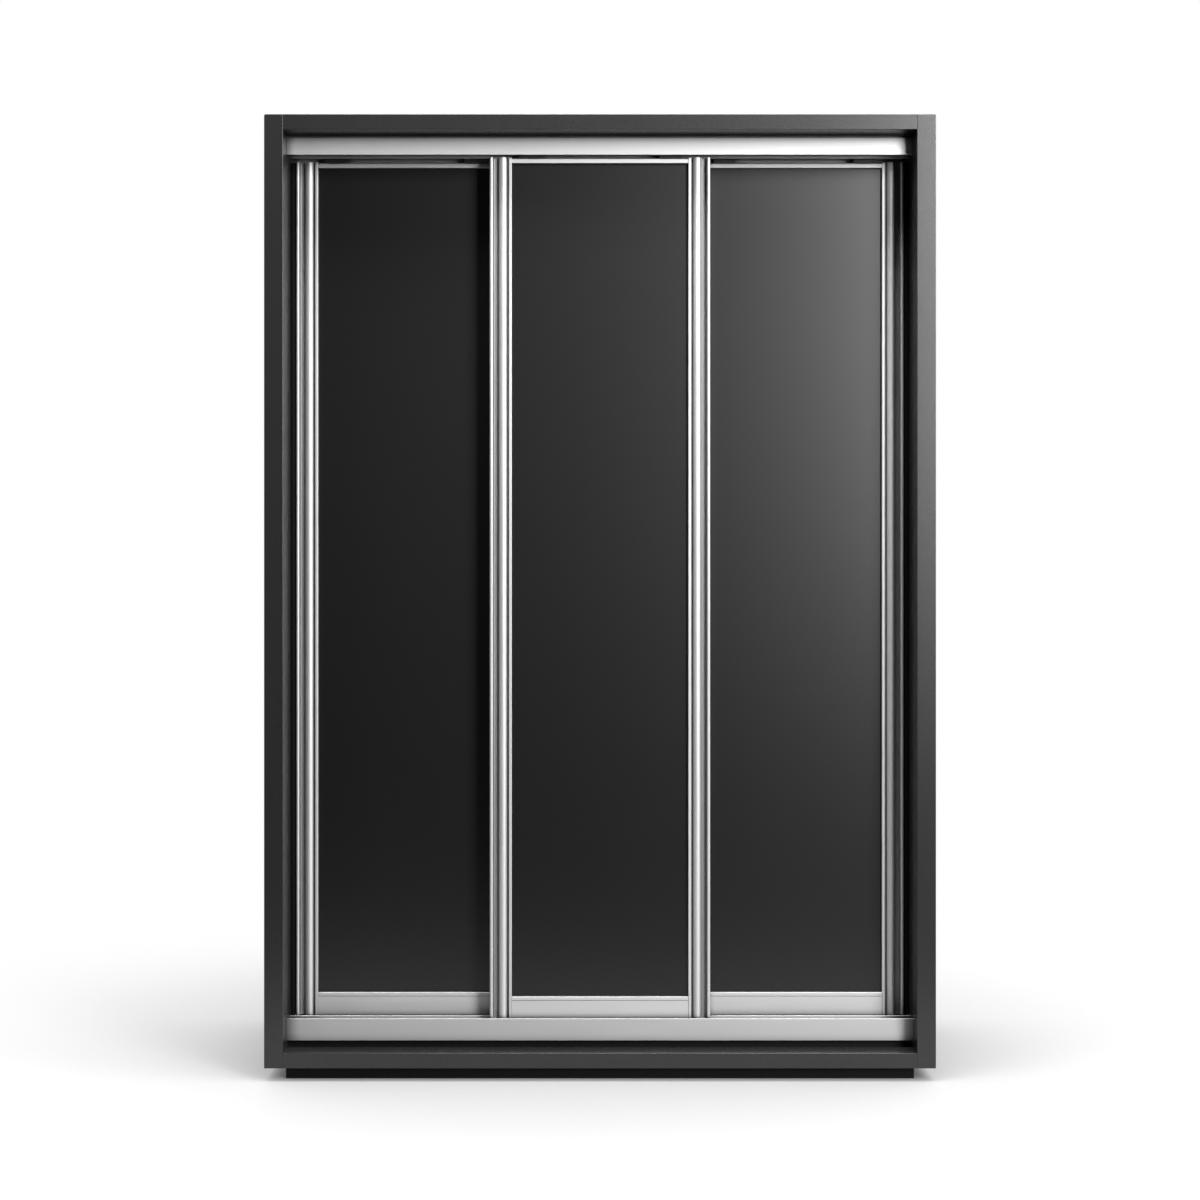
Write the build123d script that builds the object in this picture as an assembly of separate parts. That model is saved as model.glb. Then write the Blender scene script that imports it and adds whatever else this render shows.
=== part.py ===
"""Wardrobe with three sliding doors on two lanes. Millimetres, +Z up, the front faces -Y.

The origin is on the floor, in the middle of the footprint.
"""

import os

from build123d import *

os.makedirs("parts", exist_ok=True)

# Carcass
cabinet_width = 1500.0
cabinet_height = 2160.0
cabinet_depth = 650.0
side_thickness = 42.0
deck_thickness = 34.0
corner_radius = 4.0
edge_radius = 1.0
edge_share = 0.45
back_thickness = 6.0
back_sheet_play = 0.5

# Plinth
plinth_height = 30.0
plinth_thickness = 18.0
plinth_recess = 32.0
plinth_side_inset = 44.0
plinth_back_inset = 40.0
runner_width = 40.0
runner_count = 4

# Fittings inside
divider_thickness = 18.0
shelf_thickness = 18.0
shelf_setback = 20.0
shelf_play = 0.5
hat_shelf_drop = 326.0
lower_shelf_count = 3
pin_diameter = 5.0
pin_depth = 10.0
pin_reach = 8.0
pin_tab_height = 8.0
pin_edge_inset = 60.0
rail_diameter = 25.0
rail_wall = 1.5
rail_drop = 50.0
socket_wall = 4.5
socket_length = 12.0
socket_base = 3.0
fixing_rail_height = 90.0
fixing_rail_thickness = 16.0
fixing_hole_diameter = 8.0
fixing_hole_spacing = 300.0

# Tracks
track_recess = 55.0
track_wall = 3.0
track_web = 2.5
lane_clearance = 4.5
bottom_track_height = 49.5
middle_wall_drop = 3.5
packer_height = 16.0
packer_setback = 12.0
bead_width = 6.0
bead_height = 5.5
top_track_height = 44.0
top_reveal = 5.0
top_reveal_depth = 9.0
top_middle_rise = 2.5
top_edge_radius = 0.9
rear_gap = 4.0

# Door frame
door_side_gap = 12.0
door_overlap = 54.0
door_dip = 4.0
door_top_gap = 4.0
lip_width = 8.0
grip_width = 13.0
grip_depth = 13.0
grip_radius = 3.0
bead_face_width = 18.0
bead_rise = 5.0
notch_width = 4.0
notch_depth = 9.0
inner_lip_width = 7.0
inner_lip_setback = 4.0
inner_lip_radius = 1.5
stile_depth = 36.0
profile_wall = 2.0
panel_thickness = 10.0
panel_play = 0.2
panel_slot_depth = 12.0
panel_edge_gap = 0.8
rail_back_setback = 2.0
bottom_rail_height = 51.0
bottom_rail_channel = 22.0
bottom_rail_wall = 2.5
rail_line_drop = 8.0
rail_line_width = 1.2
rail_line_depth = 0.8
top_rail_height = 12.5
top_rail_face = 9.2
top_slot_depth = 8.0
top_rail_chamfer = 4.0
seal_clearance = 1.0
seal_thickness = 8.0
seal_setback = 6.0

# Rollers, guides and stops
roller_radius = 14.0
roller_flange = 3.0
roller_width = 12.0
roller_gap = 0.3
roller_side_gap = 1.0
roller_inset = 90.0
journal_diameter = 6.0
journal_clearance = 0.05
housing_length = 64.0
housing_play = 0.3
housing_foot = 8.0
guide_inset = 90.0
guide_length = 50.0
guide_foot_width = 20.0
guide_rise = 8.0
guide_head_height = 22.0
guide_play = 0.5
stop_height = 32.0
stop_play = 1.0

# Fasteners
screw_shank = 4.0
screw_head = 8.0
screw_head_height = 2.2
screw_length = 24.0
screw_clearance = 0.05
track_screw_inset = 120.0
track_screw_count = 3
back_screw_inset = 60.0
back_screw_rows = 5
frame_screw_shank = 5.0
frame_screw_head = 9.0
frame_screw_head_height = 3.5
frame_screw_bite = 25.0
frame_screw_access = 10.0
cam_diameter = 15.0
cam_height = 21.0
cam_inset = 34.0
cam_bolt_diameter = 7.0
cam_bolt_bite = 20.0
cam_edge_inset = 90.0
cam_gap = 0.3

# Places worked out from the sizes above
half_width = cabinet_width / 2
inner_half = half_width - side_thickness
front_y = -cabinet_depth / 2
back_y = cabinet_depth / 2
back_face_y = back_y - back_thickness
floor_z = plinth_height + deck_thickness
ceiling_z = cabinet_height - deck_thickness

stile_width = lip_width + grip_width + bead_face_width + notch_width + inner_lip_width
lane_width = stile_depth + 2 * lane_clearance
track_front_y = front_y + track_recess
front_lane_y = track_front_y + track_wall
rear_lane_y = front_lane_y + lane_width + track_wall
track_back_y = rear_lane_y + lane_width + track_wall
fittings_front_y = track_back_y + rear_gap

bottom_track_z = floor_z + packer_height
lane_floor_z = bottom_track_z + track_web
bottom_track_top_z = bottom_track_z + bottom_track_height
top_track_z = ceiling_z - top_track_height
lane_roof_z = ceiling_z - track_wall
bead_top_z = lane_floor_z + bead_height
axle_z = bead_top_z + roller_gap + roller_radius

door_width = (2 * (inner_half - door_side_gap) + 2 * door_overlap) / 3
door_bottom_z = bottom_track_top_z - door_dip
door_top_z = top_track_z - door_top_gap
door_height = door_top_z - door_bottom_z
door_centres = {
    "left": -inner_half + door_side_gap + door_width / 2,
    "middle": 0.0,
    "right": inner_half - door_side_gap - door_width / 2,
}
door_lanes = {"left": rear_lane_y, "middle": front_lane_y, "right": rear_lane_y}

slot_front = (stile_depth - panel_thickness) / 2 - panel_play
slot_back = (stile_depth + panel_thickness) / 2 + panel_play
slot_bottom = stile_width - panel_slot_depth
rail_back = stile_depth - rail_back_setback
frame_screw_seat = lip_width + grip_width - profile_wall
frame_screw_depth = (slot_back + rail_back) / 2
top_screw_z = top_rail_height / 2
bottom_screw_z = (bottom_rail_channel + bottom_rail_height - panel_slot_depth) / 2

compartment_width = (2 * inner_half - 2 * divider_thickness) / 3
divider_x = compartment_width / 2 + divider_thickness / 2
compartments = {
    "left": (-inner_half, -divider_x - divider_thickness / 2),
    "middle": (-compartment_width / 2, compartment_width / 2),
    "right": (divider_x + divider_thickness / 2, inner_half),
}
hat_shelf_z = ceiling_z - hat_shelf_drop
lower_shelf_pitch = (hat_shelf_z - floor_z) / (lower_shelf_count + 1)
hanging_rail_z = hat_shelf_z - rail_drop
hanging_rail_y = (fittings_front_y + back_face_y) / 2
fixing_rail_z = ceiling_z - fixing_rail_height / 2


def block(x, y, z):
    """A box between pairs of limits."""
    size = Box(x[1] - x[0], y[1] - y[0], z[1] - z[0], align=(Align.MIN,) * 3)
    return Pos(x[0], y[0], z[0]) * size


def rod(radius, start, length, direction):
    """A cylinder from a point, along X, Y or Z."""
    turn = {"X": Rot(0, 90, 0), "Y": Rot(-90, 0, 0), "Z": Rot(0, 0, 0)}[direction]
    return Pos(*start) * turn * Cylinder(radius, length, align=(Align.CENTER, Align.CENTER, Align.MIN))


def outline(points):
    """A face from (across, up, corner radius) points."""
    places = [(across, up) for across, up, _ in points]
    return make_face(FilletPolyline(*places, radius=[r for _, _, r in points], close=True))


def window(low, high):
    """A rectangular face between two corners."""
    size = Rectangle(high[0] - low[0], high[1] - low[1], align=(Align.MIN, Align.MIN))
    return Pos(*low) * size


def along_x(section, start, end):
    """A (Y, Z) section run from one X to another."""
    return Pos(start, 0, 0) * extrude(Plane.YZ * section, amount=end - start)


def spread(low, high, count):
    """Evenly spaced places from low to high."""
    return [low + (high - low) * i / (count - 1) for i in range(count)]


def save(name, solids):
    """Write one sub-part."""
    shapes = solids if isinstance(solids, list) else [solids]
    bodies = [body for shape in shapes for body in shape.solids()]
    export_step(bodies[0] if len(bodies) == 1 else Compound(bodies), f"parts/{name}.step")


def drilled(solid, tools):
    """A solid with a list of tools cut out of it."""
    return solid - tools if tools else solid


# Countersunk screws for the tracks and the back panels


def screw(place, turn, clearance):
    """A countersunk screw, head at the place, pointing along its own +Z after the turn."""
    shank = Cylinder(
        screw_shank / 2 + clearance,
        screw_length + clearance,
        align=(Align.CENTER, Align.CENTER, Align.MIN),
    )
    head = Cone(
        screw_head / 2 + clearance,
        screw_shank / 2 + clearance,
        screw_head_height,
        align=(Align.CENTER, Align.CENTER, Align.MIN),
    )
    return Pos(*place) * turn * (shank + head)


screw_up = Rot(0, 0, 0)
screw_down = Rot(180, 0, 0)
screw_forward = Rot(90, 0, 0)

track_screw_xs = spread(-inner_half + track_screw_inset, inner_half - track_screw_inset, track_screw_count)
track_screw_ys = [lane_y + lane_width / 4 for lane_y in (front_lane_y, rear_lane_y)]
track_screw_spots = [(x, y) for x in track_screw_xs for y in track_screw_ys]
top_screw_spots = [(x, y, lane_roof_z) for x, y in track_screw_spots]
bottom_screw_spots = [(x, y, lane_floor_z) for x, y in track_screw_spots]

back_screw_zs = [plinth_height + deck_thickness / 2, ceiling_z + deck_thickness / 2]
back_edge_spots = [
    (x, back_y, z)
    for low, high in compartments.values()
    for x in spread(low + back_screw_inset, high - back_screw_inset, 2)
    for z in back_screw_zs
]
divider_screw_zs = spread(floor_z + back_screw_inset, ceiling_z - back_screw_inset, back_screw_rows)
divider_edge_spots = [
    (side * divider_x + sheet * divider_thickness / 4, back_y, z)
    for side in (-1, 1)
    for sheet in (-1, 1)
    for z in divider_screw_zs
]
back_screw_spots = back_edge_spots + divider_edge_spots


def panel_screws(clearance):
    """Every countersunk screw of the cabinet, or the holes for them."""
    top = [screw(spot, screw_up, clearance) for spot in top_screw_spots]
    bottom = [screw(spot, screw_down, clearance) for spot in bottom_screw_spots]
    back = [screw(spot, screw_forward, clearance) for spot in back_screw_spots]
    return top, bottom, back


top_screw_holes, bottom_screw_holes, back_screw_holes = panel_screws(screw_clearance)


# Cam fittings that pull the top and bottom panels against the sides

cam_ys = (front_y + cam_edge_inset, back_face_y - cam_edge_inset)


def cam_fittings(clearance):
    """Cam discs and bolts at the four corners, or the holes for them."""
    discs, bolts = [], []
    bolt_length = cam_bolt_bite + cam_inset - cam_diameter / 2 - cam_gap
    for side in (-1, 1):
        for face_z, deck_z, inward in (
            (cabinet_height, cabinet_height - deck_thickness / 2, -1),
            (plinth_height, plinth_height + deck_thickness / 2, 1),
        ):
            for y in cam_ys:
                disc_x = side * (inner_half - cam_inset)
                disc_z = face_z if inward > 0 else face_z - cam_height
                discs.append(rod(cam_diameter / 2 + clearance, (disc_x, y, disc_z), cam_height, "Z"))
                reach = (inner_half + cam_bolt_bite) * side
                start = min(reach, reach - side * bolt_length)
                bolts.append(rod(cam_bolt_diameter / 2 + clearance, (start, y, deck_z), bolt_length, "X"))
    return discs, bolts


cam_disc_holes, cam_bolt_holes = cam_fittings(screw_clearance)


# Shelf pins

shelf_front_y = fittings_front_y + shelf_setback
pin_ys = (shelf_front_y + pin_edge_inset, back_face_y - pin_edge_inset)
shelf_levels = {"left_hat_shelf": ("left", hat_shelf_z)}
shelf_levels["middle_hat_shelf"] = ("middle", hat_shelf_z)
shelf_levels["right_hat_shelf"] = ("right", hat_shelf_z)
for number in range(1, lower_shelf_count + 1):
    shelf_levels[f"left_shelf_{number}"] = ("left", floor_z + number * lower_shelf_pitch)


def shelf_pins(clearance):
    """The pins under every shelf, or the holes for them."""
    pins = []
    for bay, level in shelf_levels.values():
        low, high = compartments[bay]
        pin_z = level - pin_tab_height / 2
        for wall_x, inward in ((low, 1), (high, -1)):
            start = min(wall_x, wall_x - inward * pin_depth)
            tab = sorted((wall_x, wall_x + inward * pin_reach))
            for y in pin_ys:
                stem = rod(pin_diameter / 2 + clearance, (start, y, pin_z), pin_depth, "X")
                width = (y - pin_diameter / 2, y + pin_diameter / 2)
                shelf_tab = block(tab, width, (level - pin_tab_height, level))
                pins.append(stem if clearance else stem + shelf_tab)
    return pins


pin_holes = shelf_pins(screw_clearance)


# Carcass panels


def eased(board, direction, thickness):
    """A board with its front edges along one direction rounded."""
    front_edges = board.edges().filter_by(direction).group_by(Axis.Y)[0]
    return fillet(front_edges, min(edge_radius, thickness / 3))


def side_panel(side):
    """A full-height side with its top outer edge and front edges rounded."""
    x = sorted((side * inner_half, side * half_width))
    panel = block(x, (front_y, back_y), (plinth_height, cabinet_height))
    outer_top = panel.edges().filter_by(Axis.Y).group_by(Axis.Z)[-1].sort_by(Axis.X)[-1 if side > 0 else 0]
    panel = fillet(outer_top, min(corner_radius, side_thickness / 3))
    panel = eased(panel, Axis.Z, side_thickness)
    return drilled(panel, cam_bolt_holes + pin_holes)


def deck_panel(low_z, holes):
    """A top or bottom panel between the sides, with its front edges rounded."""
    panel = block((-inner_half, inner_half), (front_y, back_face_y), (low_z, low_z + deck_thickness))
    panel = eased(panel, Axis.X, deck_thickness)
    return drilled(panel, holes + cam_disc_holes + cam_bolt_holes + back_screw_holes)


def divider(side):
    """An upright between the bottom and top panels, behind the doors."""
    x = (side * divider_x - divider_thickness / 2, side * divider_x + divider_thickness / 2)
    panel = block(x, (fittings_front_y, back_face_y), (floor_z, ceiling_z))
    panel = eased(panel, Axis.Z, divider_thickness)
    return drilled(panel, pin_holes + back_screw_holes)


fixing_holes = [
    rod(fixing_hole_diameter / 2, (x, back_face_y - fixing_rail_thickness, fixing_rail_z),
        fixing_rail_thickness + back_thickness, "Y")
    for x in (-fixing_hole_spacing / 2, fixing_hole_spacing / 2)
]
back_edges = {
    "left": (-inner_half, -divider_x - back_sheet_play),
    "middle": (-divider_x + back_sheet_play, divider_x - back_sheet_play),
    "right": (divider_x + back_sheet_play, inner_half),
}


def back_panel(bay):
    """A thin sheet behind one compartment, screwed to the panels' back edges."""
    sheet = block(back_edges[bay], (back_face_y, back_y), (plinth_height, cabinet_height))
    return drilled(sheet, back_screw_holes + (fixing_holes if bay == "middle" else []))


save("left_side_panel", side_panel(-1))
save("right_side_panel", side_panel(1))
save("top_panel", deck_panel(ceiling_z, top_screw_holes))
save("bottom_panel", deck_panel(plinth_height, bottom_screw_holes))
save("left_divider", divider(-1))
save("right_divider", divider(1))
for bay_name in compartments:
    save(f"back_panel_{bay_name}", back_panel(bay_name))

cam_discs, cam_bolts = cam_fittings(0.0)
save("cam_fittings", cam_discs + cam_bolts)

# Plinth

plinth_half = half_width - plinth_side_inset
plinth_front_y = front_y + plinth_recess
plinth_back_y = plinth_front_y + plinth_thickness
save(
    "plinth_front",
    block((-plinth_half, plinth_half), (plinth_front_y, plinth_back_y), (0, plinth_height)),
)
runner_xs = spread(-plinth_half + runner_width / 2, plinth_half - runner_width / 2, runner_count)
save(
    "plinth_runners",
    [
        block(
            (x - runner_width / 2, x + runner_width / 2),
            (plinth_back_y, back_y - plinth_back_inset),
            (0, plinth_height),
        )
        for x in runner_xs
    ],
)

# Shelves, hanging rails and the wall fixing rail

for shelf_name, (bay_name, level) in shelf_levels.items():
    low_x, high_x = compartments[bay_name]
    shelf = block(
        (low_x + shelf_play, high_x - shelf_play),
        (shelf_front_y, back_face_y - shelf_play),
        (level, level + shelf_thickness),
    )
    save(shelf_name, eased(shelf, Axis.X, shelf_thickness))
save("shelf_pins", shelf_pins(0.0))

sockets = []
for bay_name in ("middle", "right"):
    low_x, high_x = compartments[bay_name]
    rail_start = low_x + socket_base
    rail_length = high_x - low_x - 2 * socket_base
    tube = rod(rail_diameter / 2, (rail_start, hanging_rail_y, hanging_rail_z), rail_length, "X")
    bore = rod(
        rail_diameter / 2 - rail_wall, (rail_start, hanging_rail_y, hanging_rail_z), rail_length, "X"
    )
    save(f"{bay_name}_hanging_rail", tube - bore)
    cup_radius = rail_diameter / 2 + socket_wall
    for start_x in (low_x, high_x - socket_length):
        cup = rod(cup_radius, (start_x, hanging_rail_y, hanging_rail_z), socket_length, "X")
        seat = rod(
            rail_diameter / 2 + screw_clearance,
            (rail_start, hanging_rail_y, hanging_rail_z),
            rail_length,
            "X",
        )
        sockets.append(cup - seat)
save("rail_sockets", sockets)

fixing_rail = block(
    compartments["middle"],
    (back_face_y - fixing_rail_thickness, back_face_y),
    (ceiling_z - fixing_rail_height, ceiling_z),
)
save("wall_fixing_rail", drilled(fixing_rail, fixing_holes))

# Tracks

middle_wall_y = front_lane_y + lane_width
round_top = track_wall * edge_share
bottom_middle_top = bottom_track_top_z - middle_wall_drop
bottom_outline = outline(
    [
        (track_front_y, bottom_track_z, 0),
        (track_front_y, bottom_track_top_z, round_top),
        (front_lane_y, bottom_track_top_z, round_top),
        (front_lane_y, lane_floor_z, 0),
        (middle_wall_y, lane_floor_z, 0),
        (middle_wall_y, bottom_middle_top, round_top),
        (rear_lane_y, bottom_middle_top, round_top),
        (rear_lane_y, lane_floor_z, 0),
        (track_back_y - track_wall, lane_floor_z, 0),
        (track_back_y - track_wall, bottom_middle_top, round_top),
        (track_back_y, bottom_middle_top, round_top),
        (track_back_y, bottom_track_z, 0),
    ]
)
lane_centres = [lane_y + lane_width / 2 for lane_y in (front_lane_y, rear_lane_y)]
bead_round = bead_width * edge_share
bead_outlines = [
    outline(
        [
            (centre - bead_width / 2, lane_floor_z - track_web / 2, 0),
            (centre - bead_width / 2, bead_top_z, bead_round),
            (centre + bead_width / 2, bead_top_z, bead_round),
            (centre + bead_width / 2, lane_floor_z - track_web / 2, 0),
        ]
    )
    for centre in lane_centres
]
bottom_section = bottom_outline + bead_outlines[0] + bead_outlines[1]
save("bottom_track", drilled(along_x(bottom_section, -inner_half, inner_half), bottom_screw_holes))

packer = block(
    (-inner_half, inner_half),
    (track_front_y + packer_setback, track_back_y),
    (floor_z, bottom_track_z),
)
save("track_packer", drilled(packer, bottom_screw_holes))

top_middle_z = top_track_z + top_middle_rise
top_round = min(top_edge_radius, track_wall * edge_share)
knee = top_reveal_depth + track_wall
top_section = outline(
    [
        (track_front_y, top_track_z, top_round),
        (track_front_y, ceiling_z - top_reveal, top_round),
        (track_front_y + top_reveal_depth, ceiling_z - top_reveal, 0),
        (track_front_y + top_reveal_depth, ceiling_z, 0),
        (track_back_y, ceiling_z, 0),
        (track_back_y, top_middle_z, 0),
        (track_back_y - track_wall, top_middle_z, 0),
        (track_back_y - track_wall, lane_roof_z, 0),
        (rear_lane_y, lane_roof_z, 0),
        (rear_lane_y, top_middle_z, 0),
        (middle_wall_y, top_middle_z, 0),
        (middle_wall_y, lane_roof_z, 0),
        (track_front_y + knee, lane_roof_z, 0),
        (front_lane_y, lane_roof_z - top_reveal_depth, 0),
        (front_lane_y, top_track_z, top_round),
    ]
)
save("top_track", drilled(along_x(top_section, -inner_half, inner_half), top_screw_holes))

top_screws, bottom_screws, back_screws = panel_screws(0.0)
save("panel_screws", top_screws + bottom_screws + back_screws)

# End stops in the lanes, which the roller housings run up to

housing_end = roller_inset - housing_length / 2
stop_length = door_side_gap + housing_end - stop_play
stop_half = (lane_width - 2 * lane_clearance) / 3
stops = []
for centre in lane_centres:
    for x_limits in (
        (-inner_half, -inner_half + stop_length),
        (inner_half - stop_length, inner_half),
    ):
        stop = block(
            x_limits, (centre - stop_half, centre + stop_half), (lane_floor_z, lane_floor_z + stop_height)
        )
        bead_slot = block(
            x_limits,
            (centre - bead_width / 2 - panel_play, centre + bead_width / 2 + panel_play),
            (lane_floor_z, bead_top_z + panel_play),
        )
        stops.append(stop - bead_slot)
save("track_stops", stops)

# Door stile section: across from the outer edge, back from the front face

grip_end = lip_width + grip_width
bead_end = grip_end + bead_face_width
notch_end = bead_end + notch_width
lip_round = lip_width * edge_share
bead_radius = (bead_rise**2 + (bead_face_width / 2) ** 2) / (2 * bead_rise)
stile_outline = outline(
    [
        (0, stile_depth, 0),
        (0, 0, lip_round),
        (lip_width, 0, lip_round),
        (lip_width, grip_depth, min(grip_radius, grip_width / 3)),
        (grip_end, grip_depth, min(grip_radius, grip_width / 3)),
        (grip_end, bead_rise, 0),
        (bead_end, bead_rise, 0),
        (bead_end, notch_depth, 0),
        (notch_end, notch_depth, 0),
        (notch_end, inner_lip_setback, min(inner_lip_radius, inner_lip_width / 3)),
        (stile_width, inner_lip_setback, min(inner_lip_radius, inner_lip_width / 3)),
        (stile_width, slot_front, 0),
        (slot_bottom, slot_front, 0),
        (slot_bottom, slot_back, 0),
        (stile_width, slot_back, 0),
        (stile_width, stile_depth, 0),
    ]
)
bead_circle = Pos((grip_end + bead_end) / 2, bead_radius) * Circle(bead_radius)
bead_cap = bead_circle & window((grip_end, 0), (bead_end, bead_rise))
bead_chamber = window(
    (grip_end + profile_wall, bead_rise + profile_wall),
    (slot_bottom - profile_wall, stile_depth - profile_wall),
)
grip_chamber = window(
    (profile_wall, grip_depth + profile_wall),
    (grip_end - profile_wall, stile_depth - profile_wall),
)
back_chamber = window(
    (slot_bottom + profile_wall, slot_back + profile_wall),
    (stile_width - profile_wall, stile_depth - profile_wall),
)
stile_section = stile_outline + bead_cap - bead_chamber - grip_chamber - back_chamber

frame_screw_zs = (bottom_screw_z, door_height - top_screw_z)
frame_screw_reach = stile_width + frame_screw_bite


def frame_screw(height, clearance):
    """A frame screw through the left stile, seated on the wall behind the grip chamber."""
    shank = rod(
        frame_screw_shank / 2 + clearance,
        (frame_screw_seat, frame_screw_depth, height),
        frame_screw_reach - frame_screw_seat + clearance,
        "X",
    )
    head = rod(
        frame_screw_head / 2,
        (frame_screw_seat - frame_screw_head_height, frame_screw_depth, height),
        frame_screw_head_height,
        "X",
    )
    return shank if clearance else shank + head


left_stile = extrude(stile_section, amount=door_height)
access_holes = [
    rod(frame_screw_access / 2, (0, frame_screw_depth, z), profile_wall, "X") for z in frame_screw_zs
]
screw_paths = [frame_screw(z, screw_clearance) for z in frame_screw_zs]
left_stile = drilled(left_stile, access_holes + screw_paths)

# Door rails, from stile to stile

rail_length = door_width - 2 * stile_width
rail_slot_z = bottom_rail_height - panel_slot_depth
line_low = bottom_rail_height - rail_line_drop - rail_line_width
rail_round = min(inner_lip_radius, inner_lip_width / 3)
bottom_rail_section = outline(
    [
        (inner_lip_setback, 0, 0),
        (inner_lip_setback, line_low, 0),
        (inner_lip_setback + rail_line_depth, line_low, 0),
        (inner_lip_setback + rail_line_depth, line_low + rail_line_width, 0),
        (inner_lip_setback, line_low + rail_line_width, 0),
        (inner_lip_setback, bottom_rail_height, rail_round),
        (slot_front, bottom_rail_height, 0),
        (slot_front, rail_slot_z, 0),
        (slot_back, rail_slot_z, 0),
        (slot_back, bottom_rail_height, 0),
        (rail_back, bottom_rail_height, 0),
        (rail_back, 0, 0),
        (rail_back - bottom_rail_wall, 0, 0),
        (rail_back - bottom_rail_wall, bottom_rail_channel, 0),
        (inner_lip_setback + bottom_rail_wall, bottom_rail_channel, 0),
        (inner_lip_setback + bottom_rail_wall, 0, 0),
    ]
)
rail_chamber = window(
    (inner_lip_setback + bottom_rail_wall, bottom_rail_channel + bottom_rail_wall),
    (slot_back, rail_slot_z - bottom_rail_wall),
)
bottom_rail = along_x(bottom_rail_section - rail_chamber, stile_width, stile_width + rail_length)

top_rail_section = outline(
    [
        (inner_lip_setback, 0, rail_round),
        (inner_lip_setback, top_rail_face, 0),
        (inner_lip_setback + top_rail_chamfer, top_rail_height, 0),
        (rail_back, top_rail_height, 0),
        (rail_back, 0, 0),
        (slot_back, 0, 0),
        (slot_back, top_slot_depth, 0),
        (slot_front, top_slot_depth, 0),
        (slot_front, 0, 0),
    ]
)
top_rail_low = door_height - top_rail_height
top_rail = Pos(0, 0, top_rail_low) * along_x(top_rail_section, stile_width, stile_width + rail_length)

mirror_plane = Plane.YZ.offset(door_width / 2)


def both_ends(solids):
    """Solids at the door's left end and their mirror images at its right end."""
    return solids + [mirror(solid, about=mirror_plane) for solid in solids]


screw_bores = both_ends(screw_paths)
bottom_rail = drilled(bottom_rail, screw_bores)
top_rail = drilled(top_rail, screw_bores)
door_panel = block(
    (slot_bottom + panel_edge_gap, door_width - slot_bottom - panel_edge_gap),
    (slot_front + panel_play, slot_back - panel_play),
    (rail_slot_z + panel_edge_gap, top_rail_low + top_slot_depth - panel_edge_gap),
)

# Rollers and their housings, with heights counted from the door's bottom edge

lane_middle = stile_depth / 2
axle_height = axle_z - door_bottom_z
channel_low = inner_lip_setback + bottom_rail_wall + housing_play
channel_high = rail_back - bottom_rail_wall - housing_play
fork_half = roller_width / 2 + roller_side_gap
flange_radius = roller_radius + roller_flange
fork_top = axle_height + flange_radius + roller_flange


def roller_housing(x):
    """A fork that fills the bottom rail's channel and straddles its roller."""
    limits = (x - housing_length / 2, x + housing_length / 2)
    body = block(limits, (channel_low, channel_high), (axle_height - housing_foot, bottom_rail_channel))
    fork = block(
        limits, (lane_middle - fork_half, lane_middle + fork_half), (axle_height - housing_foot, fork_top)
    )
    bore = rod(
        journal_diameter / 2 + journal_clearance,
        (x, channel_low, axle_height),
        channel_high - channel_low,
        "Y",
    )
    return body - fork - bore


def roller(x):
    """A grooved roller with its stub axles, running on the track's bead."""
    tread_half = bead_width / 2 + roller_gap
    rim = roller_width / 2
    wheel = rod(flange_radius, (x, lane_middle - rim, axle_height), roller_width, "Y")
    blank = rod(flange_radius, (x, lane_middle - tread_half, axle_height), 2 * tread_half, "Y")
    tread = rod(roller_radius, (x, lane_middle - tread_half, axle_height), 2 * tread_half, "Y")
    axle = rod(journal_diameter / 2, (x, channel_low, axle_height), channel_high - channel_low, "Y")
    return wheel - (blank - tread) + axle


# Top guides, which ride between the walls of the top track


def top_guide(x):
    """A shoe on the top rail whose head fills the lane."""
    limits = (x - guide_length / 2, x + guide_length / 2)
    head_low = top_track_z + guide_rise - door_bottom_z
    foot = block(
        limits,
        (lane_middle - guide_foot_width / 2, lane_middle + guide_foot_width / 2),
        (door_height, head_low),
    )
    head_half = lane_width / 2 - guide_play
    head = block(
        limits, (lane_middle - head_half, lane_middle + head_half), (head_low, head_low + guide_head_height)
    )
    return foot + head


seal_width = door_side_gap - seal_clearance
left_seal = extrude(
    outline(
        [
            (-seal_width, seal_setback, seal_thickness / 3),
            (0, seal_setback, 0),
            (0, seal_setback + seal_thickness, 0),
            (-seal_width, seal_setback + seal_thickness, seal_thickness / 3),
        ]
    ),
    amount=door_height,
)

frame_screws = both_ends([frame_screw(z, 0.0) for z in frame_screw_zs])
roller_xs = {"left": roller_inset, "right": door_width - roller_inset}

for door, centre_x in door_centres.items():
    door_place = Pos(centre_x - door_width / 2, door_lanes[door] + lane_clearance, door_bottom_z)
    pieces = {
        "left_stile": left_stile,
        "right_stile": mirror(left_stile, about=mirror_plane),
        "top_rail": top_rail,
        "bottom_rail": bottom_rail,
        "panel": door_panel,
        "frame_screws": frame_screws,
        "roller_housings": [roller_housing(x) for x in roller_xs.values()],
        "top_guides": both_ends([top_guide(guide_inset)]),
    }
    for end, x in roller_xs.items():
        pieces[f"{end}_roller"] = roller(x)
    if door == "left":
        pieces["edge_seal"] = left_seal
    if door == "right":
        pieces["edge_seal"] = mirror(left_seal, about=mirror_plane)
    for piece_name, piece in pieces.items():
        solids = piece if isinstance(piece, list) else [piece]
        save(f"{door}_door_{piece_name}", [door_place * solid for solid in solids])
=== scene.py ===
"""Looks of the sliding door wardrobe. Metres, the same frame as the CAD: +Z up, the front faces -Y."""

import math

import bmesh
import bpy
from mathutils import Matrix, Vector


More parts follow.
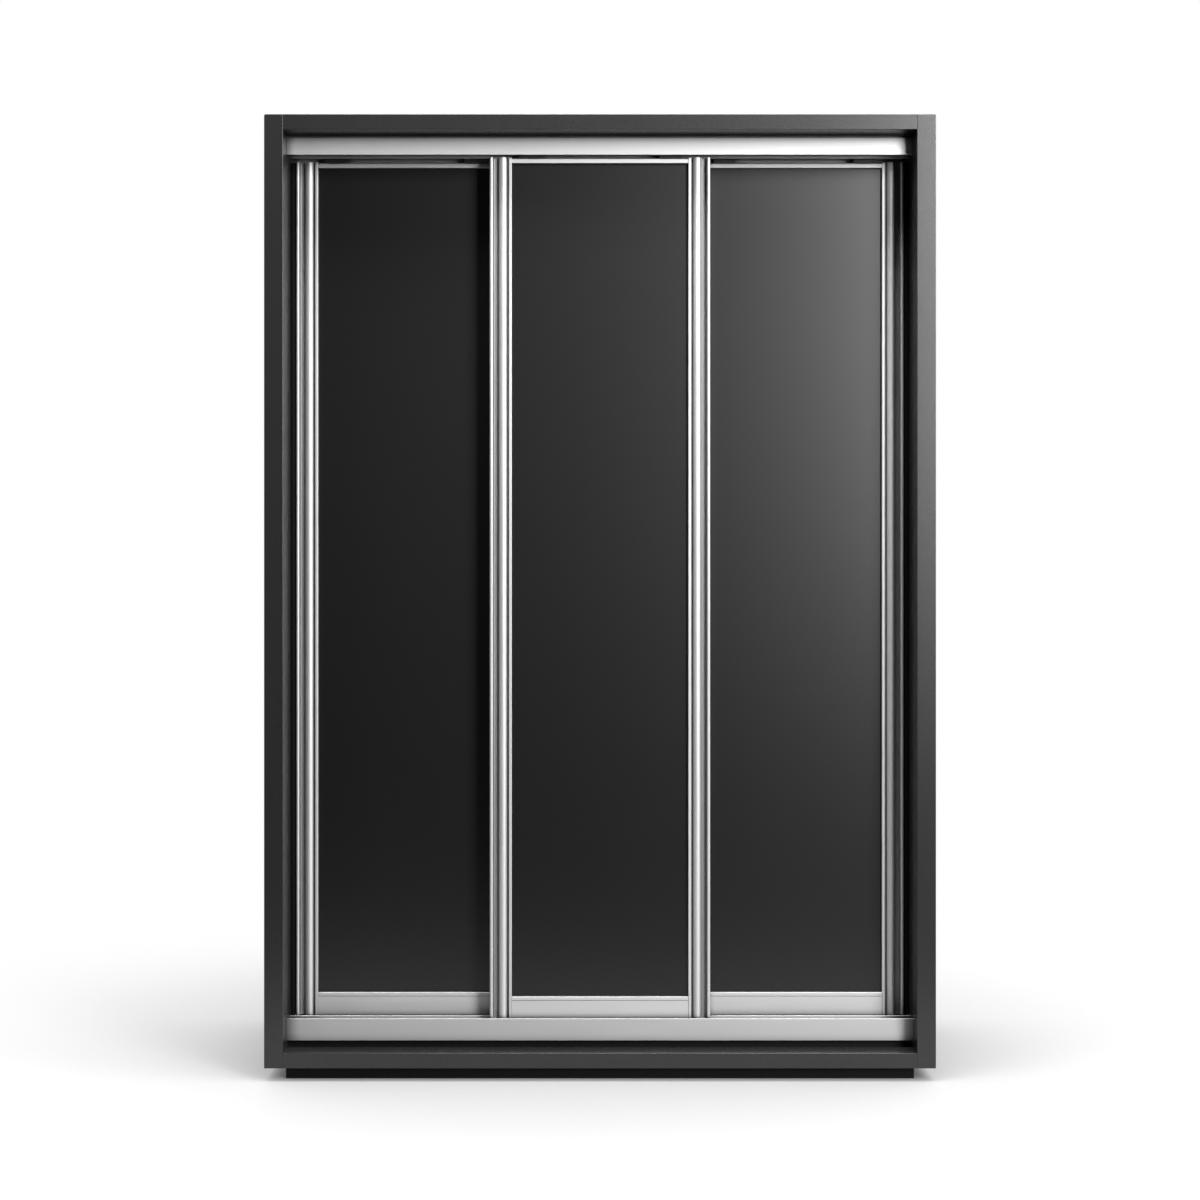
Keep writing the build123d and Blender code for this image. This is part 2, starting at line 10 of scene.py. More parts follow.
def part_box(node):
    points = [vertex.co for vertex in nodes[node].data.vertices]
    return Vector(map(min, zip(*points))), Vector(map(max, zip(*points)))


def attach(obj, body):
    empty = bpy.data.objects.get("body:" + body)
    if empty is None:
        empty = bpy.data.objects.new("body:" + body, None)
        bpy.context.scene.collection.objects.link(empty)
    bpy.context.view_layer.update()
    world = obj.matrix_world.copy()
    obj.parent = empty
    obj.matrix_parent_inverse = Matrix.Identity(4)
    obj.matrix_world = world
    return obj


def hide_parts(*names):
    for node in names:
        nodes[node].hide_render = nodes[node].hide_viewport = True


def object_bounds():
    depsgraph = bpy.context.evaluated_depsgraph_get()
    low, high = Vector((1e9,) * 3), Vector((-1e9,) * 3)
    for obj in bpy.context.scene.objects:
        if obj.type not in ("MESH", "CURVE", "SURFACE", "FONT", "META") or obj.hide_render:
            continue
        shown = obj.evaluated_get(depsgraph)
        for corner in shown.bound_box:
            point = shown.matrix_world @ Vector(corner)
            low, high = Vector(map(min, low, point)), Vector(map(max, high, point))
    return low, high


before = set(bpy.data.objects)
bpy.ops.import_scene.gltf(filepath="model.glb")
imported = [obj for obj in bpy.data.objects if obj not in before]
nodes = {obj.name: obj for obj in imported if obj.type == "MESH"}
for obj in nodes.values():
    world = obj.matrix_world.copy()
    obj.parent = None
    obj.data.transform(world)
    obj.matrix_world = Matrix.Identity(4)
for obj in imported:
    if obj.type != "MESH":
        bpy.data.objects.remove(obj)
cad_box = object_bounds()

DOORS = ("left", "middle", "right")
FRONT = cad_box[0][1]

# Camera, from the photograph's framing
CAMERA_DISTANCE = 4.30
CAMERA_HEIGHT = 1.0755
CAMERA_TILT = math.radians(90)
LENS_MM = 57.8
SENSOR_MM = 36.0

# Backdrop for the camera, room for reflections from its front to its back, and fill for all else
WHITE = (1.0, 1.0, 1.0, 1.0)
BACKDROP_STRENGTH = 1.0
ROOM_STRENGTH = 0.025
ROOM_FRONT = -0.6
ROOM_BACK = 0.8
FILL_STRENGTH = 0.25

# Lamps
LAMPS = {
    "key": dict(place=(2.6, -4.1, 2.95), aim=(0.2, -0.3, 1.4), size=(1.6, 3.8), watts=550.0),
    "back": dict(place=(-0.6, 3.2, 4.2), aim=(0.0, -0.3, 0.0), size=(3.0, 3.0), watts=160.0, mirrored=False),
    "side": dict(place=(-3.8, -2.4, 2.2), aim=(0.0, -0.3, 1.1), size=(1.2, 2.8), watts=25.0),
    "top": dict(place=(0.2, -0.95, 4.2), aim=(0.1, -0.6, 0.0), size=(2.4, 0.8), watts=280.0),
}

# Floor: its real shadow and a painted shadow on its glow, its fade to the backdrop or the room, and the light
# that it sends back
FLOOR_SIZE = 60.0
FLOOR_COLOUR = (0.13, 0.13, 0.13)
FLOOR_ROUGHNESS = 0.9
FLOOR_LIFT = 0.79
PAINTED_SHADOW_REACH = 1.1
FADE_START = 0.4
FADE_END = 1.5
ROOM_DEPTH = 1.5
NEAR_BOUNCE = 0.36
FAR_BOUNCE = 0.08
BOUNCE_REACH = 1.8

# Widths of rounded edges; a node with none keeps the edges of the CAD
CAD_EDGE = 0.0
BOARD_EDGE = 0.0007
METAL_EDGE = 0.0003
PLASTIC_EDGE = 0.0006
EDGE_SEGMENTS = 2
EDGE_ANGLE = math.radians(40)

# Fasteners
WELD = 1e-6
RIM_REACH = 1e-5
RADIUS_DIGITS = 5
SEGMENTS = 24
CHAMFER = 0.0003
THREAD_PITCH = 0.0018
THREAD_DEPTH = 0.0005
SHADING_ANGLE = math.radians(35)
TURN_STEP = 2.4

# Recesses, as shares of a head's radius
CROSS_REACH = 0.62
CROSS_WIDTH = 0.17
HEX_SIDES = 6
HEX_REACH = 0.58
RECESS_TAPER = 0.6

# Screw heads: height over overhang or radius, and depth of the recess over the height
COUNTERSINK = 1.1
CROSS_DEPTH = 0.8
SOCKET_HEAD = 0.75
SOCKET_DEPTH = 0.7

# Cam discs and bolts, as shares of the radius or of the length
CAM_RIM = 0.9
CAM_RECESS = 0.3
BOLT_NECK = 0.6
BOLT_SHOULDER = 1.2
BOLT_RECESS = 0.5
NECK_END = 0.45
COLLAR_START = 0.5
BOLT_THREAD = 0.55

# Colours
GRAPHITE = (0.010, 0.010, 0.0103)
GRAPHITE_INSIDE = (0.07, 0.07, 0.072)
# black plinth and track packers, made near-black as painted shade under the cabinet and behind the tracks
PLINTH_SHADE_BLACK = (0.003, 0.003, 0.003)
PANEL_BLACK = (0.0020, 0.0020, 0.0021)
ALUMINIUM = (0.47, 0.47, 0.475)
# painted shade: the bottom track is a darker copy of the same aluminium
SILL_PAINTED_SHADE = 0.86
CHROME = (0.72, 0.72, 0.74)
ZINC = (0.62, 0.62, 0.60)
PLASTIC_BLACK = (0.012, 0.012, 0.012)
NYLON_WHITE = (0.72, 0.71, 0.68)
RUBBER_BLACK = (0.002, 0.002, 0.002)

# Textures: waves per metre along each axis, shares of the colour, steps from the roughness
NOISE_SPREAD = (0.3, 0.7)
CLOUD_WAVES = (9.0, 9.0, 5.0)
CLOUD_TONES = (0.94, 1.06)
BOARD_GLOSS = (-0.05, 0.05)
UPRIGHT_LINES = (900.0, 900.0, 6.0)
ACROSS_LINES = (6.0, 900.0, 900.0)
TUBE_LINES = (3.0, 300.0, 300.0)
PLATE_GRAIN = (700.0, 700.0, 700.0)
METAL_TONES = (0.95, 1.03)
METAL_GLOSS = (-0.04, 0.05)
PLASTIC_GRAIN = (2600.0, 2600.0, 2600.0)
PLASTIC_RELIEF = 0.00002
PLASTIC_TONES = (0.9, 1.1)
PLASTIC_GLOSS = (-0.06, 0.06)

# Painted shade in grooves of metal and in joints between boards, from closed to open, and the line behind an
# edge strip
RECESS_SHADE_OPEN = (0.4, 0.95)
RECESS_SHADE_TONE = 0.2
JOINT_SHADE_OPEN = (0.6, 0.95)
JOINT_SHADE_REACH = 0.003
JOINT_SHADE_TONE = 0.1
STRIP_THICKNESS = 0.0016
STRIP_LINE = 0.0003
STRIP_TONE = 0.3


# Materials


def shade(colour, factor):
    return tuple(c * factor for c in colour)


class Finish:
    """A node material with one Principled shader."""

    def __init__(self, name, colour, roughness, metallic=0.0, specular=0.5):
        self.colour = colour
        self.roughness = roughness
        self.material = bpy.data.materials.new(name)
        self.material.use_nodes = True
        self.tree = self.material.node_tree
        self.shader = self.tree.nodes["Principled BSDF"]
        self.shader.inputs["Base Color"].default_value = (*colour, 1.0)
        self.shader.inputs["Roughness"].default_value = roughness
        self.shader.inputs["Metallic"].default_value = metallic
        self.shader.inputs["Specular IOR Level"].default_value = specular

    def add(self, kind, **values):
        """A node with values on its inputs, where an underscore stands for a space."""
        node = self.tree.nodes.new(kind)
        for name, value in values.items():
            node.inputs[name.replace("_", " ")].default_value = value
        return node

    def add_mix(self, blend):
        """A node that mixes colours."""
        node = self.add("ShaderNodeMix")
        node.data_type = "RGBA"
        node.blend_type = blend
        return node

    def join(self, source, target):
        self.tree.links.new(source, target)

    def noise(self, waves, detail, roughness=0.6):
        """Noise in the frame's own metres."""
        place = self.add("ShaderNodeTexCoord")
        scale = self.add("ShaderNodeMapping", Scale=waves)
        noise = self.add("ShaderNodeTexNoise", Scale=1.0, Detail=detail, Roughness=roughness)
        self.join(place.outputs["Object"], scale.inputs["Vector"])
        self.join(scale.outputs["Vector"], noise.inputs["Vector"])
        return noise.outputs["Fac"]

    def ramp(self, source, low, high, limits=NOISE_SPREAD):
        """A value moved from its limits to a low and a high one."""
        start, end = limits
        spread = self.add("ShaderNodeMapRange", From_Min=start, From_Max=end, To_Min=low, To_Max=high)
        self.join(source, spread.inputs["Value"])
        return spread.outputs["Result"]

    def vary_tone(self, source, tones):
        """Base colour between a dark and a light share of itself."""
        dark, light = tones
        mix = self.add_mix("MIX")
        mix.inputs["A"].default_value = (*shade(self.colour, dark), 1.0)
        mix.inputs["B"].default_value = (*shade(self.colour, light), 1.0)
        self.join(self.ramp(source, 0.0, 1.0), mix.inputs["Factor"])
        self.join(mix.outputs["Result"], self.shader.inputs["Base Color"])

    def vary_gloss(self, source, steps):
        """Roughness between a step below and a step above itself."""
        below, above = steps
        spread = self.ramp(source, self.roughness + below, self.roughness + above)
        self.join(spread, self.shader.inputs["Roughness"])

    def tint(self, factor):
        """Base colour times a factor."""
        mix = self.add_mix("MULTIPLY")
        mix.inputs["Factor"].default_value = 1.0
        colour = self.shader.inputs["Base Color"]
        self.join(colour.links[0].from_socket, mix.inputs["A"])
        self.join(factor, mix.inputs["B"])
        self.join(mix.outputs["Result"], colour)

    def paint_recess_shade(self, reach):
        """Painted shade: darker colour in grooves and near other parts closer than the reach, taken from
        ambient occlusion.
        """
        shade_occlusion = self.add("ShaderNodeAmbientOcclusion", Distance=reach)
        self.tint(self.ramp(shade_occlusion.outputs["AO"], RECESS_SHADE_TONE, 1.0, RECESS_SHADE_OPEN))

    def paint_joint_shade(self):
        """Painted shade: less reflection in the fine joint between two boards and in inner corners, taken
        from ambient occlusion.
        """
        shade_occlusion = self.add("ShaderNodeAmbientOcclusion", Distance=JOINT_SHADE_REACH)
        level = self.shader.inputs["Specular IOR Level"]
        full = level.default_value
        self.join(self.ramp(shade_occlusion.outputs["AO"], full * JOINT_SHADE_TONE, full, JOINT_SHADE_OPEN), level)

    def edge_strip(self, front):
        """A hairline where the strip on a board's front edge meets the board, at a place along Y."""
        place = self.add("ShaderNodeTexCoord")
        axes = self.add("ShaderNodeSeparateXYZ")
        self.join(place.outputs["Object"], axes.inputs["Vector"])
        line = wire_math(self.tree, "COMPARE", axes.outputs["Y"], front + STRIP_THICKNESS, STRIP_LINE / 2)
        self.tint(self.ramp(line, 1.0, STRIP_TONE))

    def bump(self, source, height):
        """Relief of a height in metres."""
        relief = self.add("ShaderNodeBump", Distance=height, Strength=1.0)
        self.join(source, relief.inputs["Height"])
        self.join(relief.outputs["Normal"], self.shader.inputs["Normal"])


def wire_math(tree, operation, *inputs):
    """A math node fed by values or sockets."""
    node = tree.nodes.new("ShaderNodeMath")
    node.operation = operation
    for socket, value in zip(node.inputs, inputs):
        if isinstance(value, (int, float)):
            socket.default_value = value
        else:
            tree.links.new(value, socket)
    return node.outputs[0]


def board_finish(name, colour, roughness, specular, grain=520.0, relief=0.00005, front=None, joints=False):
    """Melamine board: a faint cloud of tone and a fine pearl texture."""
    finish = Finish(name, colour, roughness, specular=specular)
    finish.vary_tone(finish.noise(CLOUD_WAVES, detail=4.0), CLOUD_TONES)
    pearl = finish.noise((grain, grain, grain), detail=2.0)
    finish.vary_gloss(pearl, BOARD_GLOSS)
    finish.bump(pearl, relief)
    if front is not None:
        finish.edge_strip(front)
    # painted shade: dimmer reflection where boards meet
    if joints:
        finish.paint_joint_shade()
    return finish.material


def metal_finish(name, colour, roughness, waves, relief=0.000002, recess=0.014):
    """Metal with fine lines or grain, and painted shade in its grooves and near other parts."""
    finish = Finish(name, colour, roughness, metallic=1.0)
    lines = finish.noise(waves, detail=3.0, roughness=0.55)
    finish.vary_tone(lines, METAL_TONES)
    finish.vary_gloss(lines, METAL_GLOSS)
    finish.bump(lines, relief)
    # painted shade: darker colour wherever other surfaces are closer than the recess reach
    finish.paint_recess_shade(recess)
    return finish.material


def plastic_finish(name, colour, roughness, specular=0.5):
    """Moulded plastic with a fine spark-eroded texture."""
    finish = Finish(name, colour, roughness, specular=specular)
    texture = finish.noise(PLASTIC_GRAIN, detail=2.0)
    finish.vary_tone(texture, PLASTIC_TONES)
    finish.vary_gloss(texture, PLASTIC_GLOSS)
    finish.bump(texture, PLASTIC_RELIEF)
    return finish.material


divider_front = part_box("left_divider")[0][1]
shelf_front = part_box("left_shelf_1")[0][1]
# painted shade: a darker copy of the aluminium for the bottom track
sill_shaded_colour = shade(ALUMINIUM, SILL_PAINTED_SHADE)

carcass = board_finish("graphite_board", GRAPHITE, roughness=0.29, specular=0.5, front=FRONT, joints=True)
divider = board_finish("graphite_divider", GRAPHITE_INSIDE, roughness=0.52, specular=0.35,
                       front=divider_front)
shelf = board_finish("graphite_shelf", GRAPHITE_INSIDE, roughness=0.52, specular=0.35, front=shelf_front)
back_sheet = board_finish("back_sheet", GRAPHITE_INSIDE, roughness=0.62, specular=0.30, grain=700.0)
# painted shade: the plinth and packers are near-black for the shade under the cabinet and behind the tracks
plinth = board_finish("black_board", PLINTH_SHADE_BLACK, roughness=0.55, specular=0.12)
panel = board_finish("satin_panel", PANEL_BLACK, roughness=0.33, specular=0.5, grain=1300.0, relief=0.000012)
# each recess reach sets how far the painted shade in grooves and near other parts spreads
upright_metal = metal_finish("anodised_upright", ALUMINIUM, roughness=0.62, waves=UPRIGHT_LINES, recess=0.017)
across_metal = metal_finish("anodised_across", ALUMINIUM, roughness=0.64, waves=ACROSS_LINES, recess=0.022)
sill_metal = metal_finish("anodised_sill", sill_shaded_colour, roughness=0.62, waves=ACROSS_LINES, recess=0.035)
chrome = metal_finish("chrome_tube", CHROME, roughness=0.10, waves=TUBE_LINES, relief=0.000001)
zinc = metal_finish("zinc_plate", ZINC, roughness=0.30, waves=PLATE_GRAIN)
black_plastic = plastic_finish("black_plastic", PLASTIC_BLACK, roughness=0.5)
white_nylon = plastic_finish("white_nylon", NYLON_WHITE, roughness=0.42)
rubber = plastic_finish("black_rubber", RUBBER_BLACK, roughness=0.75, specular=0.1)


# Finish and edge width of the CAD nodes that are shown

CABINET_FINISHES = (
    (carcass, CAD_EDGE, ("left_side_panel", "right_side_panel", "top_panel", "bottom_panel")),
    (divider, CAD_EDGE, ("left_divider", "right_divider")),
    (shelf, CAD_EDGE, ("left_hat_shelf", "middle_hat_shelf", "right_hat_shelf")),
    (shelf, CAD_EDGE, ("left_shelf_1", "left_shelf_2", "left_shelf_3", "wall_fixing_rail")),
    (back_sheet, CAD_EDGE, ("back_panel_left", "back_panel_middle", "back_panel_right")),
    (plinth, BOARD_EDGE, ("plinth_front", "plinth_runners")),
    (plinth, CAD_EDGE, ("track_packer",)),
    (across_metal, CAD_EDGE, ("top_track",)),
    (sill_metal, CAD_EDGE, ("bottom_track",)),
    (chrome, CAD_EDGE, ("middle_hanging_rail", "right_hanging_rail")),
    (zinc, METAL_EDGE, ("rail_sockets", "shelf_pins")),
    (black_plastic, PLASTIC_EDGE, ("track_stops",)),
    (rubber, CAD_EDGE, ("left_door_edge_seal", "right_door_edge_seal")),
)
DOOR_FINISHES = (
    (upright_metal, CAD_EDGE, ("left_stile", "right_stile")),
    (across_metal, CAD_EDGE, ("top_rail", "bottom_rail")),
    (panel, CAD_EDGE, ("panel",)),
    (white_nylon, PLASTIC_EDGE, ("left_roller", "right_roller")),
    (black_plastic, PLASTIC_EDGE, ("roller_housings", "top_guides")),
)


def soften(node, width):
    """Rounded edges on a CAD node, as a modifier."""
    weld = node.modifiers.new("weld", "WELD")
    weld.merge_threshold = WELD
    bevel = node.modifiers.new("edge", "BEVEL")
    bevel.width = width
    bevel.segments = EDGE_SEGMENTS
    bevel.limit_method = "ANGLE"
    bevel.angle_limit = EDGE_ANGLE


def dress(rows, start=""):
    """Finishes and edges on CAD nodes whose names begin with a start."""
    for finish, edge, names in rows:
        for name in names:
            node = nodes[start + name]
            node.data.materials.clear()
            node.data.materials.append(finish)
            if edge:
                soften(node, edge)


dress(CABINET_FINISHES)
for door in DOORS:
    dress(DOOR_FINISHES, f"{door}_door_")


# Fasteners with their recesses and threads, in place of the plain CAD pins


def loose_parts(node):
    """The points of each separate solid of a CAD node."""
    mesh = bmesh.new()
    mesh.from_mesh(node.data)
    bmesh.ops.remove_doubles(mesh, verts=mesh.verts, dist=WELD)
    parts, seen = [], set()
    for start in mesh.verts:
        waiting, points = [start], []
        while waiting:
            vert = waiting.pop()
            if vert not in seen:
                seen.add(vert)
                points.append(vert.co.copy())
                waiting.extend(edge.other_vert(vert) for edge in vert.link_edges)
        if points:
            parts.append(points)
    mesh.free()
    return parts


class Pin:
    """Place, way, length and radii of a round CAD pin, counted from its head."""

    def __init__(self, points, centre):
        low = Vector([min(point[i] for point in points) for i in range(3)])
        high = Vector([max(point[i] for point in points) for i in range(3)])
        spans = high - low
        self.axis = max(range(3), key=lambda i: spans[i])
        self.length = spans[self.axis]
        middle = (low + high) / 2
        ends = []
        for place in (low[self.axis], high[self.axis]):
            end = middle.copy()
            end[self.axis] = place
            rim = [point for point in points if abs(point[self.axis] - place) < RIM_REACH]
            radius = max((point - end).length for point in rim)
            ends.append((round(radius, RADIUS_DIGITS), abs(place - centre[self.axis]), end))
        ends.sort(key=lambda end: end[:2])
        (self.tip_radius, _, tip), (self.head_radius, _, self.head) = ends
        self.way = (tip - self.head).normalized()

    def matrix(self, turn):
        """From a pin along +Z with its head at the origin to this place."""
        aim = self.way.to_track_quat("Z", "Y").to_matrix().to_4x4()
        return Matrix.Translation(self.head) @ aim @ Matrix.Rotation(turn, 4, "Z")


def circle(radius, count):
    """Points evenly around the origin."""
    turns = [2 * math.pi * i / count for i in range(count)]
    return [(radius * math.cos(turn), radius * math.sin(turn)) for turn in turns]


def cross(radius):
    """The outline of a cross recess in a head."""
    arm, half = radius * CROSS_REACH, radius * CROSS_WIDTH
    quarter = [(arm, -half), (arm, half), (half, half)]
    turns = ((1, 0), (0, 1), (-1, 0), (0, -1))
    return [(x * c - y * s, x * s + y * c) for c, s in turns for x, y in quarter]


def hexagon(radius):
    """The outline of a hexagon socket in a head."""
    return circle(radius * HEX_REACH, HEX_SIDES)


def lay(mesh, outline, depth, scale=1.0):
    """Points of an outline at a depth."""
    return [mesh.verts.new((x * scale, y * scale, depth)) for x, y in outline]


def skin(mesh, first, second):
    """Quads between two loops of points."""
    for i, vert in enumerate(first):
        j = (i + 1) % len(first)
        mesh.faces.new((vert, first[j], second[j], second[i]))


def turned(profile, recess, recess_depth):
    """A round part from (radius, depth) points, with a recess in its head."""
    mesh = bmesh.new()
    rings = [lay(mesh, circle(radius, SEGMENTS), depth) for radius, depth in profile]
    for first, second in zip(rings, rings[1:]):
        skin(mesh, first, second)
    mesh.faces.new(rings[-1])
    mouth = lay(mesh, recess, profile[0][1])
    floor = lay(mesh, recess, recess_depth, RECESS_TAPER)
    skin(mesh, mouth, floor)
    mesh.faces.new(floor)
    edges = []
    for loop in (rings[0], mouth):
        edges += [mesh.edges.get((vert, loop[i - 1])) for i, vert in enumerate(loop)]
    bmesh.ops.triangle_fill(mesh, use_beauty=True, edges=edges)
    bmesh.ops.recalc_face_normals(mesh, faces=mesh.faces)
    return mesh


def thread(radius, start, end):
    """Profile points of a thread's ridges."""
    count = int((end - start) / THREAD_PITCH)
    points = []
    for i in range(count):
        depth = start + i * THREAD_PITCH
        points += [(radius - THREAD_DEPTH, depth), (radius, depth + THREAD_PITCH / 2)]
    return points + [(radius - THREAD_DEPTH, end)]


def wood_screw(pin):
    """A countersunk screw with a cross recess."""
    radius, head = pin.tip_radius, pin.head_radius
    head_height = (head - radius) * COUNTERSINK
    profile = [(head - CHAMFER, 0.0), (head - CHAMFER, CHAMFER / 2), (radius, head_height)]
    profile += thread(radius, head_height * 2, pin.length - radius)
    return turned(profile + [(CHAMFER, pin.length)], cross(head), head_height * CROSS_DEPTH)


def socket_screw(pin):
    """A cylinder head screw with a hexagon socket."""
    radius, head = pin.tip_radius, pin.head_radius
    head_height = head * SOCKET_HEAD
    profile = [(head - CHAMFER, 0.0), (head, CHAMFER), (head, head_height), (radius, head_height)]
    profile += thread(radius, pin.length / 2, pin.length - CHAMFER)
    return turned(profile, hexagon(head), head_height * SOCKET_DEPTH)


def cam_disc(pin):
    """A cam disc with a raised rim and a cross recess."""
    radius = pin.head_radius
    rim = radius * CAM_RIM
    profile = [(rim - CHAMFER, CHAMFER * 2), (rim, 0.0), (radius - CHAMFER, 0.0), (radius, CHAMFER)]
    return turned(profile + [(radius, pin.length)], cross(radius), pin.length * CAM_RECESS)


def cam_bolt(pin):
    """The bolt that a cam disc pulls, with a head, a neck, a collar and a thread."""
    radius, length = pin.head_radius, pin.length
    neck = radius * BOLT_NECK
    profile = [(radius - CHAMFER, 0.0), (radius, CHAMFER), (radius, radius), (neck, radius * BOLT_SHOULDER)]
    profile += [(neck, length * NECK_END), (radius, length * COLLAR_START)]
    profile += thread(radius, length * BOLT_THREAD, length - CHAMFER)
    return turned(profile, cross(radius), radius * BOLT_RECESS)


def cam_part(pin):
    """A disc where the pin stands upright, or else a bolt."""
    upright = pin.axis == 2
    return cam_disc(pin) if upright else cam_bolt(pin)


def fastener_piece(node_name, body, builder):
    """One piece with every fastener of a CAD node, each turned its own way."""
    centre = (Vector(cad_box[0]) + Vector(cad_box[1])) / 2
    joined = bmesh.new()
    for number, points in enumerate(loose_parts(nodes[node_name])):
        pin = Pin(points, centre)
        single = bpy.data.meshes.new("single")
        mesh = builder(pin)
        mesh.transform(pin.matrix(number * TURN_STEP))
        mesh.to_mesh(single)
        mesh.free()
        joined.from_mesh(single)
        bpy.data.meshes.remove(single)
    data = bpy.data.meshes.new(f"{node_name}_detail")
    joined.to_mesh(data)
    joined.free()
    data.shade_smooth()
    data.set_sharp_from_angle(angle=SHADING_ANGLE)
    data.materials.append(zinc)
    piece = bpy.data.objects.new(f"{node_name}_detail", data)
    bpy.context.scene.collection.objects.link(piece)
    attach(piece, body)
    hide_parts(node_name)


fastener_piece("panel_screws", "cabinet", wood_screw)
fastener_piece("cam_fittings", "cabinet", cam_part)
for door in DOORS:
    fastener_piece(f"{door}_door_frame_screws", f"{door}_door", socket_screw)


# Floor, light and camera


def wire_range(tree, source, low, high, to_low, to_high):
    """A value moved smoothly from one range to another."""
    node = tree.nodes.new("ShaderNodeMapRange")
    node.interpolation_type = "SMOOTHSTEP"
    for name, value in (("From Min", low), ("From Max", high), ("To Min", to_low), ("To Max", to_high)):
        node.inputs[name].default_value = value
    tree.links.new(source, node.inputs["Value"])
    return node.outputs["Result"]


def wire_mix(tree, factor, first, second):
    """One value or another."""
    rest = wire_math(tree, "SUBTRACT", 1.0, factor)
    return wire_math(tree, "ADD", wire_math(tree, "MULTIPLY", factor, second),
                     wire_math(tree, "MULTIPLY", rest, first))


def wire_axes(tree, output):
    """A coordinate along each axis."""
    place = tree.nodes.new("ShaderNodeTexCoord")
    axes = tree.nodes.new("ShaderNodeSeparateXYZ")
    tree.links.new(place.outputs[output], axes.inputs["Vector"])
    return axes.outputs


def wire_rays(tree):
    """Whether a ray comes from the camera, and whether it is mirrored or passes through."""
    path = tree.nodes.new("ShaderNodeLightPath").outputs
    mirrored = wire_math(tree, "MAXIMUM", path["Is Glossy Ray"], path["Is Transmission Ray"])
    return path["Is Camera Ray"], mirrored


def make_world():
    """A white backdrop for the camera, a room with a dim front for reflections, and a soft fill."""
    world = bpy.data.worlds.new("studio")
    bpy.context.scene.world = world
    world.use_nodes = True
    tree = world.node_tree
    tree.nodes.clear()
    from_camera, mirrored = wire_rays(tree)
    way = wire_axes(tree, "Generated")
    room = wire_range(tree, way["Y"], ROOM_FRONT, ROOM_BACK, ROOM_STRENGTH, BACKDROP_STRENGTH)
    unseen = wire_mix(tree, mirrored, FILL_STRENGTH, room)
    strength = wire_mix(tree, from_camera, unseen, BACKDROP_STRENGTH)
    backdrop = tree.nodes.new("ShaderNodeBackground")
    backdrop.inputs["Color"].default_value = WHITE
    output = tree.nodes.new("ShaderNodeOutputWorld")
    tree.links.new(strength, backdrop.inputs["Strength"])
    tree.links.new(backdrop.outputs["Background"], output.inputs["Surface"])


def floor_distance(tree, axes):
    """Distance from the object's footprint, over the floor."""
    outside = []
    for axis, half in (("X", cad_box[1][0]), ("Y", cad_box[1][1])):
        beyond = wire_math(tree, "SUBTRACT", wire_math(tree, "ABSOLUTE", axes[axis]), half)
        outside.append(wire_math(tree, "POWER", wire_math(tree, "MAXIMUM", beyond, 0.0), 2.0))
    return wire_math(tree, "SQRT", wire_math(tree, "ADD", *outside))


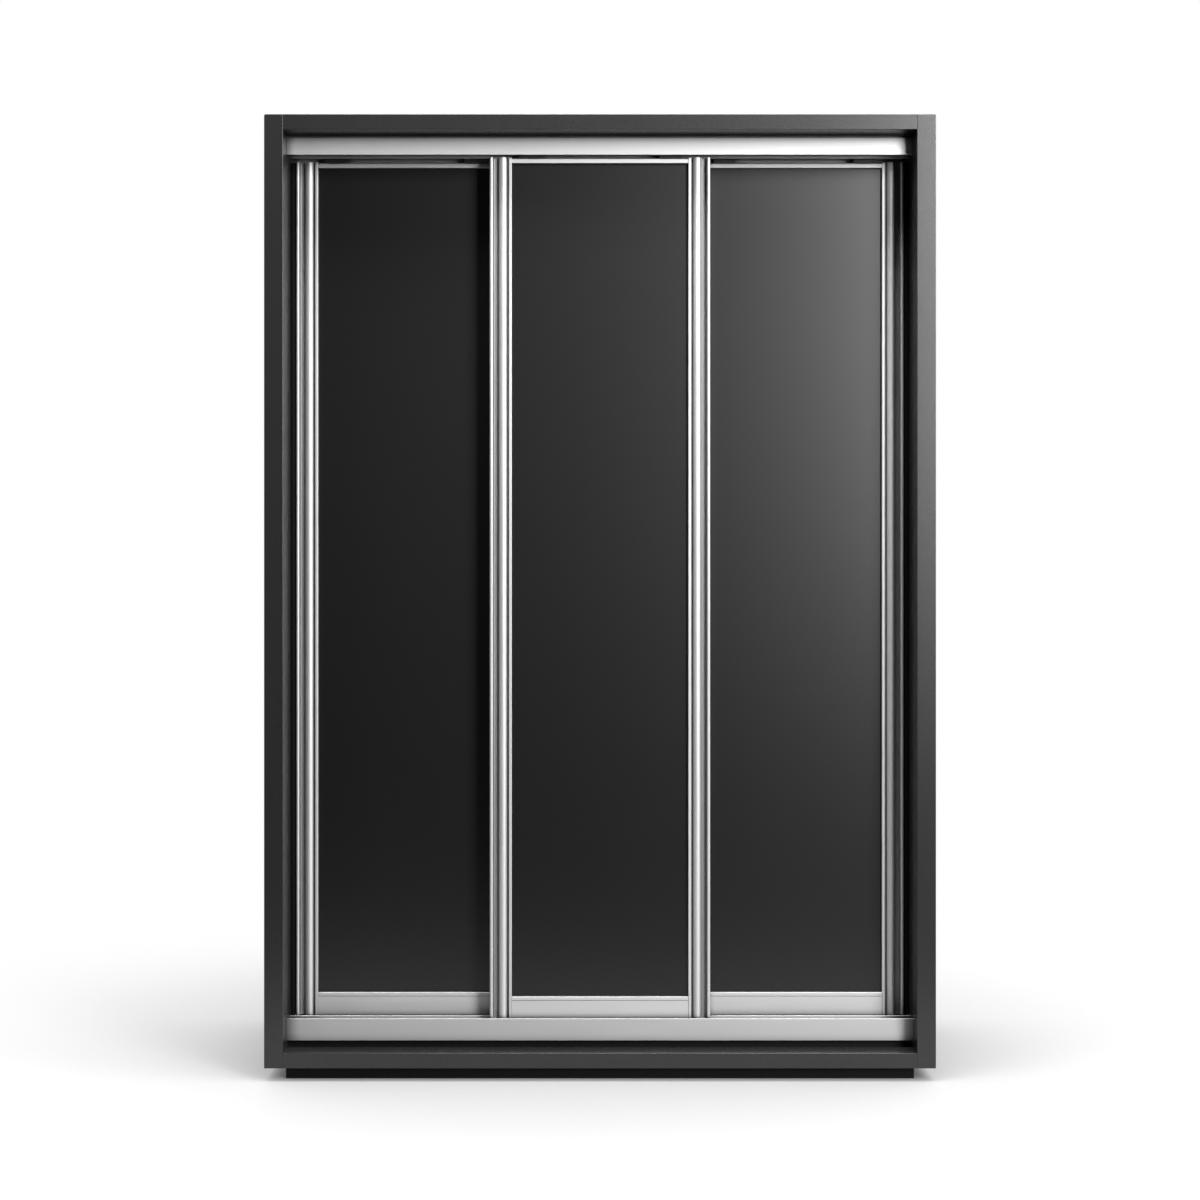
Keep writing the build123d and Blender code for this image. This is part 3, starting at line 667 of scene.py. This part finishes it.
def floor_material():
    """Real and painted shadow near the object, then backdrop or room; plain and diffuse for the light that it
    sends back.
    """
    finish = Finish("pale_floor", FLOOR_COLOUR, FLOOR_ROUGHNESS, specular=0.0)
    tree = finish.tree
    from_camera, mirrored = wire_rays(tree)
    axes = wire_axes(tree, "Object")
    away = floor_distance(tree, axes)

    # painted shadow: the floor's glow is dimmed by ambient occlusion near the object
    painted_shadow = finish.add("ShaderNodeAmbientOcclusion", Distance=PAINTED_SHADOW_REACH)
    shadowed_glow = finish.add("ShaderNodeEmission")
    finish.join(wire_math(tree, "MULTIPLY", painted_shadow.outputs["AO"], FLOOR_LIFT), shadowed_glow.inputs["Strength"])
    lit = finish.add("ShaderNodeAddShader")
    finish.join(finish.shader.outputs["BSDF"], lit.inputs[0])
    finish.join(shadowed_glow.outputs["Emission"], lit.inputs[1])

    room = wire_range(tree, axes["Y"], -ROOM_DEPTH, ROOM_DEPTH, ROOM_STRENGTH, BACKDROP_STRENGTH)
    far = finish.add("ShaderNodeEmission")
    finish.join(wire_mix(tree, mirrored, BACKDROP_STRENGTH, room), far.inputs["Strength"])
    faded = finish.add("ShaderNodeMixShader")
    finish.join(wire_range(tree, away, FADE_START, FADE_END, 0.0, 1.0), faded.inputs["Fac"])
    finish.join(lit.outputs["Shader"], faded.inputs[1])
    finish.join(far.outputs["Emission"], faded.inputs[2])

    bounce = finish.add("ShaderNodeBsdfDiffuse")
    finish.join(wire_range(tree, away, 0.0, BOUNCE_REACH, NEAR_BOUNCE, FAR_BOUNCE), bounce.inputs["Color"])
    seen = finish.add("ShaderNodeMixShader")
    finish.join(wire_math(tree, "MAXIMUM", from_camera, mirrored), seen.inputs["Fac"])
    finish.join(bounce.outputs["BSDF"], seen.inputs[1])
    finish.join(faded.outputs["Shader"], seen.inputs[2])
    finish.join(seen.outputs["Shader"], tree.nodes["Material Output"].inputs["Surface"])
    return finish.material


def make_floor():
    """A wide pale floor under the object."""
    mesh = bpy.data.meshes.new("floor")
    half = FLOOR_SIZE / 2
    corners = [(-half, -half, 0), (half, -half, 0), (half, half, 0), (-half, half, 0)]
    mesh.from_pydata(corners, [], [(0, 1, 2, 3)])
    mesh.materials.append(floor_material())
    floor = bpy.data.objects.new("floor", mesh)
    bpy.context.scene.collection.objects.link(floor)


def make_lamp(name, place, aim, size, watts, mirrored=True):
    """An area lamp that the camera doesn't see, mirrored in glossy surfaces or not."""
    lamp = bpy.data.lights.new(name, "AREA")
    lamp.shape = "RECTANGLE"
    lamp.size, lamp.size_y = size
    lamp.energy = watts
    holder = bpy.data.objects.new(name, lamp)
    holder.location = place
    holder.rotation_euler = (Vector(aim) - Vector(place)).to_track_quat("-Z", "Y").to_euler()
    holder.visible_camera = False
    holder.visible_glossy = mirrored
    bpy.context.scene.collection.objects.link(holder)


def make_camera():
    """A level camera in front of the middle of the object."""
    lens = bpy.data.cameras.new("camera")
    lens.lens = LENS_MM
    lens.sensor_width = SENSOR_MM
    lens.sensor_fit = "HORIZONTAL"
    camera = bpy.data.objects.new("camera", lens)
    camera.location = (0.0, FRONT - CAMERA_DISTANCE, CAMERA_HEIGHT)
    camera.rotation_euler = (CAMERA_TILT, 0.0, 0.0)
    bpy.context.scene.collection.objects.link(camera)
    bpy.context.scene.camera = camera


make_world()
make_floor()
for lamp_name, lamp_values in LAMPS.items():
    make_lamp(lamp_name, **lamp_values)
make_camera()
bpy.context.scene.view_settings.view_transform = "Standard"
